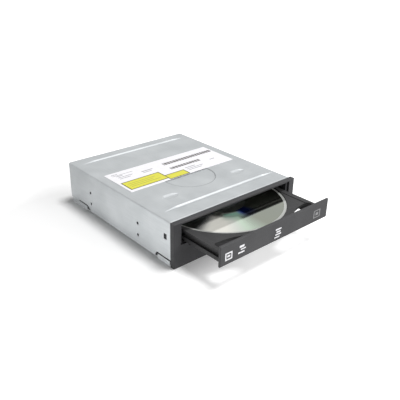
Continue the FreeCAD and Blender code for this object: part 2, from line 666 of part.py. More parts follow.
def pulley_gear():
    """Belt pulley with the small pinion that drives the large wheel."""
    rim = grooved(TRAIN_X, GEAR_Y, PULLEY_R)
    hub = rod(TRAIN_X, GEAR_Y, FLOOR_Z1, PULLEY_Z[0] + 0.5, 4.0)
    foot = PULLEY_Z[1] - 0.5
    half_tooth = math.pi / PINION_TEETH
    pinion = gear(TRAIN_X, GEAR_Y, PINION_TEETH, TRAIN_MODULE, foot, WHEEL_Z[1] + 0.2, half_tooth)
    return less(fused(rim, hub, pinion), rod(TRAIN_X, GEAR_Y, 0, CASE_H, 1.5 + RUN_GAP))


def motor_pulley():
    """Small pulley on the loading motor's shaft."""
    rim = grooved(MOTOR_X, MOTOR_Y, MOTOR_PULLEY_R)
    return less(rim, rod(MOTOR_X, MOTOR_Y, 0, CASE_H, 1.0 + RUN_GAP))


def loop(r1, r2, z0, z1):
    """Outline of a belt round the motor pulley (r1) and the large pulley (r2), filled in."""
    dx, dy = TRAIN_X - MOTOR_X, GEAR_Y - MOTOR_Y
    along = math.atan2(dy, dx)
    lean = math.acos((r1 - r2) / math.hypot(dx, dy))
    ends = []
    for side in (1, -1):
        a = along + side * lean
        ends.append((MOTOR_X + r1 * math.cos(a), MOTOR_Y + r1 * math.sin(a)))
        ends.append((TRAIN_X + r2 * math.cos(a), GEAR_Y + r2 * math.sin(a)))
    quad = [ends[0], ends[1], ends[3], ends[2]]
    return fused(plan(quad, z0, z1), rod(MOTOR_X, MOTOR_Y, z0, z1, r1), rod(TRAIN_X, GEAR_Y, z0, z1, r2))


def drive_belt():
    """Square rubber belt, lying between the slopes of both grooves."""
    r1 = MOTOR_PULLEY_R - BELT_IN
    r2 = PULLEY_R - BELT_IN
    outer = loop(r1 + BELT_SIDE, r2 + BELT_SIDE, BELT_Z[0], BELT_Z[1])
    return outer.cut(loop(r1, r2, BELT_Z[0] - 1, BELT_Z[1] + 1))


def loading_motor():
    """Flat-sided motor can hung under the frame's floor, with its shaft."""
    flat = box(
        MOTOR_X - MOTOR_R, MOTOR_X + MOTOR_R, MOTOR_Y - MOTOR_R + 2, MOTOR_Y + MOTOR_R - 2, FRAME_Z0 + 0.5,
        FLOOR_Z0,
    )
    can = rod(MOTOR_X, MOTOR_Y, FRAME_Z0 + 0.5, FLOOR_Z0, MOTOR_R).common(flat)
    collar = peg(MOTOR_X, MOTOR_Y, FLOOR_Z0, FLOOR_Z1 - 0.4, 3.0)
    return fused(can, collar, rod(MOTOR_X, MOTOR_Y, FLOOR_Z1 - 0.5, PULLEY_Z[1] - 0.2, 1.0))


def cam_slide():
    """Sliding cam plate whose slanted slots raise the traverse once the tray is home."""
    bar = box(-CAM_HW, CAM_HW, CAM_Y[0], CAM_Y[1], CAM_Z0, FLOOR_Z0)
    pin_z = LIFT_MID_Z - 1.5
    cutters = []
    for x in (-CAM_HW / 2, CAM_HW / 2):
        slot = [
            (x - 4.0, pin_z - 1.7), (x + 3.0, pin_z - 1.7), (x + 9.0, pin_z - 0.6), (x + 9.0, pin_z + 2.0),
        ]
        slot += [(x + 2.2, pin_z + 1.7), (x - 4.0, pin_z + 1.7)]
        cutters.append(section(slot, CAM_Y[0] - 1, CAM_Y[1] + 1))
    return less(bar, *cutters)


def lift_frame():
    """Plastic ring that pivots at the back and carries the traverse on dampers."""
    ring = less(
        box(-LIFT_HW, LIFT_HW, LIFT_Y0, LIFT_Y1, LIFT_Z0, LIFT_Z1),
        box(LIFT_BAR - LIFT_HW, LIFT_HW - LIFT_BAR, LIFT_Y0 + LIFT_BAR - 1, LIFT_Y1 - LIFT_BAR, 0, FLOOR_Z1),
    )
    pins = both_sides(profile(ten_sided(PIVOT_Y, LIFT_MID_Z, PIVOT_R), LIFT_HW - 1, WELL_HW + 3.0))
    cams = [section(ten_sided(x, LIFT_MID_Z - 1.5, 1.5), CAM_Y[0], LIFT_Y0 + 1) for x in (
        -CAM_HW / 2, CAM_HW / 2,
    )]
    return less(
        fused(ring, *pins, *cams), *[peg(x, y, LIFT_Z0 - 1, LIFT_Z1 + 1, 1.2) for x, y in DAMPER_SPOTS],
    )


def traverse_deck():
    """Pressed steel deck with turned-down lugs, notched to hold both rods."""
    rear = DECK_Y1 - 5.0
    pieces = [box(-DECK_HW, DECK_HW, DECK_Y0, DECK_Y1, DECK_Z, DECK_TOP)]
    for x in (-ROD_X, ROD_X):
        for y in (DECK_Y0 + 2.0, rear):
            pieces.append(box(x - 2.6, x + 2.6, y, y + 2.4, ROD_Z - 2.4, DECK_Z + 0.1))
    pieces.append(box(SCREW_X - 2.2, SCREW_X + 2.2, rear - 4.0, rear - 2.2, SCREW_Z - 2.2, DECK_Z + 0.1))
    clear = ROD_X + 3.6
    cutters = [
        box(-clear, clear, SPINDLE_Y + 9.0, rear - 2.0, DECK_Z - 0.01, DECK_TOP + 1),
        rod_y(SCREW_X, SCREW_Z, rear - 8.0, rear, SCREW_R + RUN_GAP),
    ]
    cutters.append(box(
        SCREW_X - 2.0, SCREW_X + 2.0, SPINDLE_Y - 3.0, rear - 6.0, DECK_Z - 0.01, DECK_TOP + 1,
    ))
    cutters += [box(x - ROD_R, x + ROD_R, DECK_Y0, DECK_Y1, 0, ROD_Z + ROD_R) for x in (-ROD_X, ROD_X)]
    cutters += [peg(x, y, 0, DECK_TOP + 1, DAMPER_R) for x, y in DAMPER_SPOTS]
    seat = box(
        -SPINDLE_R - 3.4, SPINDLE_R + 3.4, SPINDLE_Y - SPINDLE_R - 3.4, SPINDLE_Y + SPINDLE_R + 3.4,
        DECK_Z, DECK_TOP,
    )
    return less(less(fused(*pieces), *cutters).fuse(seat), peg(0, SPINDLE_Y, 0, DECK_TOP + 1, 4.0))


def dampers():
    """Four rubber grommets between the deck and the lift frame."""
    rings = []
    for x, y in DAMPER_SPOTS:
        foot = peg(x, y, LIFT_Z1, DECK_Z, DAMPER_R + 0.8)
        neck = peg(x, y, DECK_Z, DECK_TOP, DAMPER_R)
        head = peg(x, y, DECK_TOP, DECK_TOP + 1.0, DAMPER_R + 1.0)
        rings.append(less(fused(foot, neck, head), peg(x, y, 0, DECK_TOP + 2, 1.2)))
    return group(rings)


def damper_screws():
    """Shouldered screws through the dampers into the lift frame."""
    top = DECK_TOP + 1.0
    screws = []
    for x, y in DAMPER_SPOTS:
        screws.append(fused(peg(x, y, LIFT_Z0, top, 1.2), peg(x, y, top, top + HEAD_T, 3.0)))
    return group(screws)


def spindle_motor():
    """Flat brushless motor on a square plate under the deck, with the turntable's shaft."""
    side = SPINDLE_R + 1.0
    plate = box(-side, side, SPINDLE_Y - side, SPINDLE_Y + side, DECK_Z - 1.0, DECK_Z)
    plate = bevelled(plate, 5.0, lambda c: near(abs(c.x), side) and near(abs(c.y - SPINDLE_Y), side))
    body = rod(0, SPINDLE_Y, LIFT_Z0 - 1.5, DECK_Z - 1.0, SPINDLE_R)
    return fused(plate, body, rod(0, SPINDLE_Y, DECK_Z, TURNTABLE_Z - 0.5, 1.5))


def turntable():
    """Disc support with a centring cone."""
    hub = rod(0, SPINDLE_Y, DECK_TOP + 0.3, TURNTABLE_Z - 2.0, 4.5)
    plate = rod(0, SPINDLE_Y, TURNTABLE_Z - 2.0, TURNTABLE_Z, TURNTABLE_R)
    cone = Part.makeCone(7.2, 5.6, 1.8, Vector(0, SPINDLE_Y, TURNTABLE_Z))
    return less(fused(hub, plate, cone), rod(0, SPINDLE_Y, 0, TURNTABLE_Z, 1.5 + RUN_GAP))


def guide_rod(x):
    """Ground steel rod, held in the notches of the deck's lugs."""
    return rod_y(x, ROD_Z, DECK_Y0 + 2.0, DECK_Y1 - 2.6, ROD_R)


def pickup_sled():
    """Die-cast optical sled: bored on the main rod, slotted on the other."""
    y0 = PICKUP_Y - SLED_HALF_Y
    y1 = PICKUP_Y + SLED_HALF_Y
    body = box(4.0 - ROD_X, ROD_X - 4.0, y0, y1, SLED_Z0, SLED_TOP)
    sleeve = box(-ROD_X - 3.0, 4.5 - ROD_X, y0, y1, SLED_Z0 + 1.0, SLED_TOP)
    shoe = box(ROD_X - 4.5, ROD_X + 2.0, PICKUP_Y - 3.0, PICKUP_Y + 3.0, SLED_Z0 + 1.0, SLED_TOP)
    shoe = shoe.cut(box(ROD_X - 2.0, ROD_X + 3.0, y0, y1, ROD_Z - ROD_R - RUN_GAP, ROD_Z + ROD_R + RUN_GAP))
    head = box(-10.0, 10.0, PICKUP_Y - 7.0, PICKUP_Y + 9.0, SLED_TOP - 0.5, 17.2)
    cutters = [
        rod(0, SPINDLE_Y, 0, CASE_H, SPINDLE_R + 4.2),
        rod_y(-ROD_X, ROD_Z, y0 - 1, y1 + 1, ROD_R + RUN_GAP),
        peg(0, PICKUP_Y, 16.6, CASE_H, 3.4),
    ]
    cutters += both_sides(box(ROD_X - 9.0, ROD_X + 5.0, y0 - 1, y0 + 4.0, SLED_TOP - 1.4, CASE_H))
    return less(fused(body, sleeve, shoe, head), *cutters)


def pickup_lens():
    """Small lens of the pickup, standing in the head's round seat."""
    return rod(0, PICKUP_Y, 16.6, 18.2, 2.6)


def feed_nut():
    """Spring arm with half threads that rides the lead screw."""
    y = PICKUP_Y + 5.0
    inner = SCREW_X - SCREW_R - 0.3
    arm = box(ROD_X - 4.0, inner, y, y + 6.0, SLED_Z0 + 0.1, SLED_Z0 + 1.0)
    pad = box(inner - 1.4, inner, y, y + 6.0, SLED_Z0 + 0.1, SCREW_Z + 1.4)
    return fused(arm, pad)


def feed_motor():
    """Stepper can under the deck that turns the lead screw."""
    y0 = DECK_Y0 + 2.5
    y1 = y0 + FEED_MOTOR_LEN
    can = rod_y(SCREW_X, SCREW_Z, y0, y1, FEED_MOTOR_R)
    strap = box(SCREW_X - 2.4, SCREW_X + 2.4, y0 + 2, y1 - 2, SCREW_Z + 3.0, DECK_Z)
    return less(fused(can, strap), rod_y(SCREW_X, SCREW_Z, y1 - 4.0, y1 + 1, SCREW_R + RUN_GAP))


def lead_screw():
    """Lead screw from the stepper to the deck's rear lug."""
    return rod_y(SCREW_X, SCREW_Z, DECK_Y0 + 2.5 + FEED_MOTOR_LEN - 3.8, DECK_Y1 - 7.0, SCREW_R)


def clamper_bridge():
    """Steel strip across the frame that holds the clamper over the spindle."""
    strip = box(-FRAME_HW, FRAME_HW, BRIDGE_Y[0], BRIDGE_Y[1], FRAME_TOP, FRAME_TOP + SHEET)
    cutters = [rod(0, SPINDLE_Y, 0, CASE_H, CLAMP_R + 0.6)]
    cutters += [peg(x, y, 0, CASE_H, SMALL_SCREW_R + 0.1) for x, y in BRIDGE_SPOTS]
    cutters += both_sides(box(FRAME_HW - 40.2, FRAME_HW - 22.2, SPINDLE_Y - 7.0, SPINDLE_Y + 7.0, 0, CASE_H))
    return less(strip, *cutters)


def bridge_screws():
    """Screws that hold the bridge on the frame's bosses."""
    top = FRAME_TOP + SHEET
    screws = []
    for x, y in BRIDGE_SPOTS:
        shank = peg(x, y, FRAME_TOP - 5.5, top, SMALL_SCREW_R)
        screws.append(fused(shank, peg(x, y, top, top + HEAD_T, 2.3)))
    return group(screws)


def clamper():
    """Plastic clamper that hangs in the bridge and turns with a clamped disc."""
    top = FRAME_TOP + SHEET
    hub = rod(0, SPINDLE_Y, FRAME_TOP - 1.7, top + 0.1, CLAMP_R)
    flange = rod(0, SPINDLE_Y, top, top + 1.3, CLAMP_R + 3.0)
    return less(fused(hub, flange), rod(0, SPINDLE_Y, 0, FRAME_TOP - 0.6, 7.8))


def clamper_yoke():
    """Steel disc on the clamper, drawn to the turntable's magnet."""
    top = FRAME_TOP + SHEET + 1.3
    return rod(0, SPINDLE_Y, top, top + 0.7, 9.0)


def main_board():
    """Circuit board at the back, notched round the frame's rear feet."""
    wide_hw = WALL_IN - 0.4
    narrow_hw = BOARD_POST_X + 4.5
    wide = box(-wide_hw, wide_hw, FOOT_YS[1] + 5.0, CASE_D - 3.0, BOARD_Z, BOARD_TOP)
    narrow = box(-narrow_hw, narrow_hw, BOARD_Y0, CASE_D - 3.0, BOARD_Z, BOARD_TOP)
    holes = []
    for x in (-BOARD_POST_X, BOARD_POST_X):
        holes += [peg(x, y, 0, FLOOR_Z0, SMALL_SCREW_R + 0.1) for y in BOARD_POST_YS]
    return less(fused(wide, narrow), *holes)


def board_screws():
    """Screws of both boards, put in from below."""
    spots = [(x, y, BOARD_Z) for x in (-BOARD_POST_X, BOARD_POST_X) for y in BOARD_POST_YS]
    spots += [(x, y, FRONT_BOARD_Z) for x, y in FRONT_POSTS]
    screws = []
    for x, y, z in spots:
        screws.append(fused(peg(x, y, z - 1.1, z, 2.0), peg(x, y, z, z + BOARD_T + 3.5, SMALL_SCREW_R)))
    return group(screws)


def board_chips():
    """Flat-pack circuits on the main board."""
    y = BOARD_Y0 + 20.0
    places = (
        (-20.0, y, 14.0, 14.0), (8.0, y + 6.0, 10.0, 10.0), (30.0, y - 4.0, 9.0, 6.0),
        (22.0, y + 22.0, 8.0, 5.5),
    )
    chips = []
    for x, y, w, d in places:
        chip = box(x - w / 2, x + w / 2, y - d / 2, y + d / 2, BOARD_TOP, BOARD_TOP + 1.5)
        chips.append(bevelled(chip, 0.3, lambda c: near(c.z, BOARD_TOP + 1.5)))
    return group(chips)


def board_capacitors():
    """Upright capacitors along both edges of the main board."""
    x = BOARD_POST_X - 1.0
    y = BOARD_POST_YS[0] + 12.0
    places = ((x, y), (x, y + 10.0), (-x, y + 2.0), (-x, y + 20.0))
    return group([peg(x, y, BOARD_TOP, BOARD_TOP + 5.4, 3.1) for x, y in places])


def shroud(x0, x1, z1, wall):
    """Open-backed plug housing standing on the board's rear edge."""
    body = box(x0, x1, CONNECTOR_Y, CASE_D, BOARD_TOP, z1)
    return less(body, box(x0 + wall, x1 - wall, CONNECTOR_Y + 2.5, CASE_D + 1, BOARD_TOP + wall, z1 - wall))


def ata_connector():
    """Shrouded header of the flat data cable, with its key notch."""
    mid = (DATA_X[0] + DATA_X[1]) / 2
    notch = box(mid - 2.2, mid + 2.2, CONNECTOR_Y + 4.0, CASE_D + 1, BOARD_TOP + 4.0, BOARD_TOP + 10)
    return less(shroud(DATA_X[0], DATA_X[1], BOARD_TOP + 8.9, 1.2), notch)


def ata_pins():
    """Forty square pins in two rows, less the one left out as a key."""
    mid = (DATA_X[0] + DATA_X[1]) / 2
    pins = []
    for row in (BOARD_TOP + 3.2, BOARD_TOP + 3.2 + PIN_PITCH):
        for k in range(20):
            x = mid + (k - 9.5) * PIN_PITCH
            if not (k == 10 and row > BOARD_TOP + 4):
                pins.append(box(
                    x - PIN_HALF, x + PIN_HALF, CONNECTOR_Y + 2.5, CASE_D - 1.5, row - PIN_HALF,
                    row + PIN_HALF,
                ))
    return group(pins)


def power_connector():
    """Power socket with two bevelled corners that key the plug."""
    x0, x1 = POWER_X
    body = box(x0, x1, CONNECTOR_Y, CASE_D, BOARD_TOP, POWER_TOP)
    body = bevelled(body, 2.6, lambda c: near(c.z, POWER_TOP) and (near(c.x, x0) or near(c.x, x1)))
    top = POWER_TOP - 1.2
    inner = box(x0 + 1.2, x1 - 1.2, CONNECTOR_Y + 3.0, CASE_D + 1, BOARD_TOP + 1.2, top)
    inner = bevelled(inner, 2.2, lambda c: near(c.z, top) and (near(c.x, x0 + 1.2) or near(c.x, x1 - 1.2)))
    return body.cut(inner)


def power_pins():
    """Four round pins of the power socket."""
    z = (BOARD_TOP + POWER_TOP) / 2
    mid = (POWER_X[0] + POWER_X[1]) / 2
    spots = [mid + (k - 1.5) * 5.08 for k in range(4)]
    return group([section(ten_sided(x, z, 1.05), CONNECTOR_Y + 3.0, CASE_D - 2.0) for x in spots])


def jumper_header():
    """Six-pin header that sets the drive's order on its cable."""
    base = box(JUMPER_X[0], JUMPER_X[1], CONNECTOR_Y, CASE_D - 6.0, BOARD_TOP, BOARD_TOP + 6.2)
    mid = (JUMPER_X[0] + JUMPER_X[1]) / 2
    pins = []
    for row in (BOARD_TOP + 1.8, BOARD_TOP + 1.8 + PIN_PITCH):
        for x in (mid - PIN_PITCH, mid, mid + PIN_PITCH):
            pins.append(box(
                x - PIN_HALF, x + PIN_HALF, CASE_D - 6.5, CASE_D - 0.6, row - PIN_HALF, row + PIN_HALF,
            ))
    return fused(base, *pins)


def jumper_cap():
    """Small link pushed over one pair of the jumper pins."""
    x = (JUMPER_X[0] + JUMPER_X[1]) / 2 - PIN_PITCH
    low = BOARD_TOP + 1.8
    cap = box(x - 1.15, x + 1.15, CASE_D - 5.9, CASE_D - 0.2, low - 1.2, low + PIN_PITCH + 1.2)
    rows = (low, low + PIN_PITCH)
    return less(
        cap,
        *[box(x - PIN_HALF, x + PIN_HALF, CASE_D - 7, CASE_D - 0.6, z - PIN_HALF, z + PIN_HALF) for z in rows],
    )


def audio_connector():
    """Four-pin header of the audio lead."""
    mid = (AUDIO_X[0] + AUDIO_X[1]) / 2
    z = BOARD_TOP + 3.3
    pins = []
    for k in range(4):
        x = mid + (k - 1.5) * PIN_PITCH
        pins.append(box(
            x - PIN_HALF, x + PIN_HALF, CONNECTOR_Y + 2.0, CASE_D - 2.0, z - PIN_HALF, z + PIN_HALF,
        ))
    return fused(shroud(AUDIO_X[0], AUDIO_X[1], BOARD_TOP + 6.6, 0.9), *pins)


def front_board():
    """Small circuit board behind the front panel, under its two posts."""
    board = box(
        FRONT_BOARD_X[0], FRONT_BOARD_X[1], FRONT_BOARD_Y[0], FRONT_BOARD_Y[1], FRONT_BOARD_Z,
        FRONT_BOARD_TOP,
    )
    return less(board, *[peg(x, y, 0, FLOOR_Z0, SMALL_SCREW_R + 0.1) for x, y in FRONT_POSTS])


def eject_switch():
    """Tactile switch on the front board, just behind the button's stem."""
    body = box(
        BUTTON_X - 3.0, BUTTON_X + 3.0, FRONT_BOARD_Y[0], FRONT_BOARD_Y[0] + 4.0, FRONT_BOARD_TOP,
        PANEL_Z + 3.0,
    )
    plunger = section(ten_sided(BUTTON_X, PANEL_Z, 1.4), FRAME_Y0 + FRAME_WALL + 1.2, FRONT_BOARD_Y[0] + 1)
    return fused(body, plunger)


def led():
    """Lamp on the front board, against the light pipe."""
    return box(
        LED_X - 1.6, LED_X + 1.6, FRONT_BOARD_Y[0] - 0.4, FRONT_BOARD_Y[0] + 3.0, FRONT_BOARD_TOP,
        PANEL_Z + 1.6,
    )


def front_cable():
    """Flat cable from the front board back to the main board."""
    t = 0.3
    y0 = FRONT_BOARD_Y[1] - 1.0
    y1 = BOARD_Y0 + 1.0
    line = [(y0, FRONT_BOARD_TOP), (y0 + 2.0, FRONT_BOARD_TOP), (y0 + 6.0, BOARD_TOP), (y1, BOARD_TOP)]
    back = [(y, z + t) for y, z in reversed(line)]
    return profile(line + back, BUTTON_X - 9.5, BUTTON_X - 2.5)


def pickup_flex():
    """Flat flex from the main board, lying under the sled's path."""
    t = 0.2
    y0 = PICKUP_Y - 4.0
    y1 = PICKUP_Y + SLED_HALF_Y + PICKUP_TRAVEL + 3.0
    line = [(y0, SLED_Z0 - 0.6), (y1, SLED_Z0 - 0.6), (y1 + 2.0, SLED_Z0 - 2.0), (y1 + 2.0, BOARD_TOP)]
    line += [
        (y1 + 2.0 - t, BOARD_TOP), (y1 + 2.0 - t, SLED_Z0 - 2.1), (y1 - 0.1, SLED_Z0 - 0.6 - t),
        (y0, SLED_Z0 - 0.6 - t),
    ]
    return profile(line, -9.0, 9.0)


def rating_label():
    """Paper label stuck across the top, behind the round pressing's middle."""
    y0 = CASE_D - LABEL_REAR_GAP - LABEL_LEN
    return box(9.0 - HW, HW - 10.0, y0, y0 + LABEL_LEN, CASE_H, CASE_H + LABEL_T)


def drawn_out(shape):
    """The tray stands part way out of the mouth."""
    moved = shape.copy()
    moved.translate(Vector(0, -TRAY_OUT, 0))
    return moved


PIECES = (
    top_cover, bottom_cover, foot_screws, front_bezel, eject_button, led_lens, main_frame,
    drive_gear, pulley_gear, motor_pulley, drive_belt, loading_motor, cam_slide,
    lift_frame, traverse_deck, dampers, damper_screws, spindle_motor, turntable,
    pickup_sled, pickup_lens, feed_nut, feed_motor, lead_screw,
    clamper_bridge, bridge_screws, clamper, clamper_yoke,
    main_board, board_screws, board_chips, board_capacitors,
    ata_connector, ata_pins, power_connector, power_pins, jumper_header, jumper_cap, audio_connector,
    front_board, eject_switch, led, front_cable, pickup_flex, rating_label,
)

os.makedirs("parts", exist_ok=True)
for piece in PIECES:
    save(piece.__name__, piece())
for piece in (tray, tray_bezel, disc):
    save(piece.__name__, drawn_out(piece()))
save("guide_rod_main", guide_rod(-ROD_X))
save("guide_rod_sub", guide_rod(ROD_X))
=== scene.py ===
import bpy
import math
from mathutils import Matrix, Vector


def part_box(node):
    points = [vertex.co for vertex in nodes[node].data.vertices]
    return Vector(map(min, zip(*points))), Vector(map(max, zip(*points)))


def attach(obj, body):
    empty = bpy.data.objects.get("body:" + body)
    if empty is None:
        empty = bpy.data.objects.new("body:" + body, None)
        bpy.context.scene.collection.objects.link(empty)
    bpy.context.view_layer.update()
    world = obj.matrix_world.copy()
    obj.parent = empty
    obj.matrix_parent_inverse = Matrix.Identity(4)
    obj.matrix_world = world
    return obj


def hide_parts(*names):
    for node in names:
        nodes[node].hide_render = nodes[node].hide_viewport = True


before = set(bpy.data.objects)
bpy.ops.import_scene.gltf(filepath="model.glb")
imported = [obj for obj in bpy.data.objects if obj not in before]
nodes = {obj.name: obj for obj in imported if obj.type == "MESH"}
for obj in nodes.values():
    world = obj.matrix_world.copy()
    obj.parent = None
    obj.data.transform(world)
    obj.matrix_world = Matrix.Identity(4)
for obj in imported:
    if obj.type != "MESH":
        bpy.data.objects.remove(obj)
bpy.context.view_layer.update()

# The camera stands in front of the drive, to its left and above, at the photograph's angle.
# Its heading, height and roll come from the drive's own corners and screw holes, and its lens is
# a mild telephoto. Depths here and below are taken from the bezel's back face.
mm = 0.001
BEZEL_BACK_Y = -87.025 * mm
CAMERA_PLACE = (-305.15 * mm, BEZEL_BACK_Y - 294.83 * mm, 246.35 * mm)
FOCAL_LENGTH = 47.9
SENSOR_WIDTH = 36
heading = math.radians(-41.71)
pitch = math.radians(26.11)
roll = math.radians(1.05)
back = Vector((
    math.sin(heading) * math.cos(pitch),
    -math.cos(heading) * math.cos(pitch),
    math.sin(pitch),
))
level = (-back).cross(Vector((0, 0, 1))).normalized()
over = level.cross(-back)
right = math.cos(roll) * level + math.sin(roll) * over
up = -math.sin(roll) * level + math.cos(roll) * over
turned = Matrix((right, up, back)).transposed().to_4x4()
camera_data = bpy.data.cameras.new("camera")
camera_data.sensor_width = SENSOR_WIDTH
camera_data.lens = FOCAL_LENGTH
camera_data.clip_start = 10 * mm
camera = bpy.data.objects.new("camera", camera_data)
camera.matrix_world = Matrix.Translation(CAMERA_PLACE) @ turned
bpy.context.scene.collection.objects.link(camera)
bpy.context.scene.camera = camera


# Studio: a pale floor, a white surround and one soft sun, high on the right, which leaves the
# narrow shadow along the drive's left side. One lamp fills the front and a low one the left side.
# The floor and surround look a little brighter to the camera and in mirrors than they shine.
def link(owner, source, target):
    owner.node_tree.links.new(source, target)


def shader_of(material):
    return material.node_tree.nodes["Principled BSDF"]


def surface(name, colour, roughness, metallic=0.0):
    material = bpy.data.materials.new(name)
    material.use_nodes = True
    shader = shader_of(material)
    shader.inputs["Base Color"].default_value = (*colour, 1)
    shader.inputs["Roughness"].default_value = roughness
    shader.inputs["Metallic"].default_value = metallic
    return material


def to_shader(material, name, socket):
    link(material, socket, shader_of(material).inputs[name])


def place_node(material):
    """The point's own place in metres, from one shared node."""
    tree = material.node_tree
    found = tree.nodes.get("place")
    if found is None:
        found = tree.nodes.new("ShaderNodeTexCoord")
        found.name = "place"
    return found.outputs["Object"]


def spread(material, factor, low, high, start=0.3, end=0.7):
    """Map the factor's range from start to end onto low to high."""
    node = material.node_tree.nodes.new("ShaderNodeMapRange")
    node.inputs["From Min"].default_value = start
    node.inputs["From Max"].default_value = end
    node.inputs["To Min"].default_value = low
    node.inputs["To Max"].default_value = high
    link(material, factor, node.inputs["Value"])
    return node.outputs["Result"]


def calc(owner, operation, first, second=0.0, third=0.0):
    """One operation on numbers or sockets in the node tree of a material or the world."""
    node = owner.node_tree.nodes.new("ShaderNodeMath")
    node.operation = operation
    for index, value in enumerate((first, second, third)):
        if isinstance(value, (int, float)):
            node.inputs[index].default_value = value
        else:
            link(owner, value, node.inputs[index])
    return node.outputs["Value"]


FLOOR_HALF = 3
floor_corners = [(x * FLOOR_HALF, y * FLOOR_HALF, 0) for x, y in ((-1, -1), (1, -1), (1, 1), (-1, 1))]
floor_mesh = bpy.data.meshes.new("floor")
floor_mesh.from_pydata(floor_corners, [], [(0, 1, 2, 3)])
floor = bpy.data.objects.new("floor", floor_mesh)
bpy.context.scene.collection.objects.link(floor)
floor_paint = surface("floor", (0.93, 0.93, 0.93), 0.8)
shader_of(floor_paint).inputs["Specular IOR Level"].default_value = 0.1
shader_of(floor_paint).inputs["Emission Color"].default_value = (1, 1, 1, 1)
floor_rays = floor_paint.node_tree.nodes.new("ShaderNodeLightPath")
# Each pool has a kind of ray, a middle, the glow near it and far from it, and the fade's reach.
# The camera's glow grows away from the drive and lightens the tray's shadow, and the mirrors'
# glow is a painted pool of light by the drive's left front, which the drive's side reflects.
glow_pools = (
    ("Is Camera Ray", (-0.1, 0.01, 0), 0.0, 0.4, 0.09, 0.16),
    ("Is Glossy Ray", (-0.09, -0.06, 0), 0.6, 0.0, 0.05, 0.2),
)
glows = []
for ray, middle, near, far, start, end in glow_pools:
    reach = floor_paint.node_tree.nodes.new("ShaderNodeVectorMath")
    reach.operation = "DISTANCE"
    reach.inputs[1].default_value = middle
    link(floor_paint, place_node(floor_paint), reach.inputs[0])
    fade = spread(floor_paint, reach.outputs["Value"], near, far, start, end)
    glows.append(calc(floor_paint, "MULTIPLY", floor_rays.outputs[ray], fade))
to_shader(floor_paint, "Emission Strength", calc(floor_paint, "ADD", *glows))
floor_paint.cycles.emission_sampling = "NONE"
floor_mesh.materials.append(floor_paint)

bpy.context.scene.view_settings.view_transform = "Standard"
world = bpy.data.worlds.new("surround")
bpy.context.scene.world = world
world.use_nodes = True
sky = world.node_tree
matt_sky = sky.nodes["Background"]
mirrored_sky = sky.nodes.new("ShaderNodeBackground")
for background, strength in ((matt_sky, 0.15), (mirrored_sky, 1.0)):
    background.inputs["Color"].default_value = (1, 1, 1, 1)
    background.inputs["Strength"].default_value = strength
sky_rays = sky.nodes.new("ShaderNodeLightPath")
seen = calc(world, "MAXIMUM", sky_rays.outputs["Is Camera Ray"], sky_rays.outputs["Is Glossy Ray"])
sky_mix = sky.nodes.new("ShaderNodeMixShader")
link(world, seen, sky_mix.inputs[0])
link(world, matt_sky.outputs["Background"], sky_mix.inputs[1])
link(world, mirrored_sky.outputs["Background"], sky_mix.inputs[2])
link(world, sky_mix.outputs["Shader"], sky.nodes["World Output"].inputs["Surface"])


def lamp(name, kind, place, aim, power):
    """A lamp at a place in metres, turned towards its aim."""
    data = bpy.data.lights.new(name, kind)
    data.energy = power
    thing = bpy.data.objects.new(name, data)
    thing.location = place
    thing.rotation_euler = (Vector(aim) - Vector(place)).to_track_quat("-Z", "Y").to_euler()
    bpy.context.scene.collection.objects.link(thing)
    return data


lamp("sun", "SUN", (0.52, -0.25, 1.9), (0, 0, 0), 2.45).angle = math.radians(22)
lamp("front_fill", "AREA", (0.3, -0.95, 0.4), (0, -0.1, 0.0), 8.0).size = 0.5
lamp("side_fill", "AREA", (-0.9, -0.5, 0.14), (-0.07, -0.04, 0.03), 0.8).size = 0.4


# Inner mouldings: the black main frame, lift frame, turntable and clamper, and the natural
# acetal gears, pulley, cam slide and feed nut. The frame is glass-filled and dull, and the
# acetal is milky with a waxy sheen.
def noise(material, scale, detail=4.0, stretch=(1, 1, 1)):
    """Cloudy texture from 0 to 1, with about scale patches to the metre."""
    mapping = material.node_tree.nodes.new("ShaderNodeMapping")
    mapping.inputs["Scale"].default_value = stretch
    link(material, place_node(material), mapping.inputs["Vector"])
    texture = material.node_tree.nodes.new("ShaderNodeTexNoise")
    texture.inputs["Scale"].default_value = scale
    texture.inputs["Detail"].default_value = detail
    link(material, mapping.outputs["Vector"], texture.inputs["Vector"])
    return texture.outputs["Fac"]


def mixed(material, factor, first, second):
    """Mix two colours, each a tuple or a socket, and return the colour socket."""
    node = material.node_tree.nodes.new("ShaderNodeMix")
    node.data_type = "RGBA"
    link(material, factor, node.inputs["Factor"])
    for key, value in (("A", first), ("B", second)):
        socket = [s for s in node.inputs if s.name == key and s.type == "RGBA"][0]
        if isinstance(value, tuple):
            socket.default_value = (*value, 1)
        else:
            link(material, value, socket)
    return [s for s in node.outputs if s.type == "RGBA"][0]


def bump(material, height, strength, distance):
    node = material.node_tree.nodes.new("ShaderNodeBump")
    node.inputs["Strength"].default_value = strength
    node.inputs["Distance"].default_value = distance
    link(material, height, node.inputs["Height"])
    to_shader(material, "Normal", node.outputs["Normal"])


def speckled(name, low, high, roughness, texture=1400, depth=0.03, gloss=0.5):
    """A moulding between two tones, with a fine texture of the given depth in millimetres."""
    material = surface(name, high, roughness)
    shader_of(material).inputs["Specular IOR Level"].default_value = gloss
    tone = noise(material, 60, 3.0)
    fine = noise(material, texture, 2.0)
    to_shader(material, "Base Color", mixed(material, spread(material, tone, 0.0, 1.0), low, high))
    to_shader(material, "Roughness", spread(material, fine, roughness - 0.06, roughness + 0.08))
    bump(material, fine, 0.25, depth * mm)
    return material


def finish_node(name, material):
    """Give a CAD node its finished material in every slot it has."""
    mesh = nodes[name].data
    if not mesh.materials:
        mesh.materials.append(material)
    for index in range(len(mesh.materials)):
        mesh.materials[index] = material


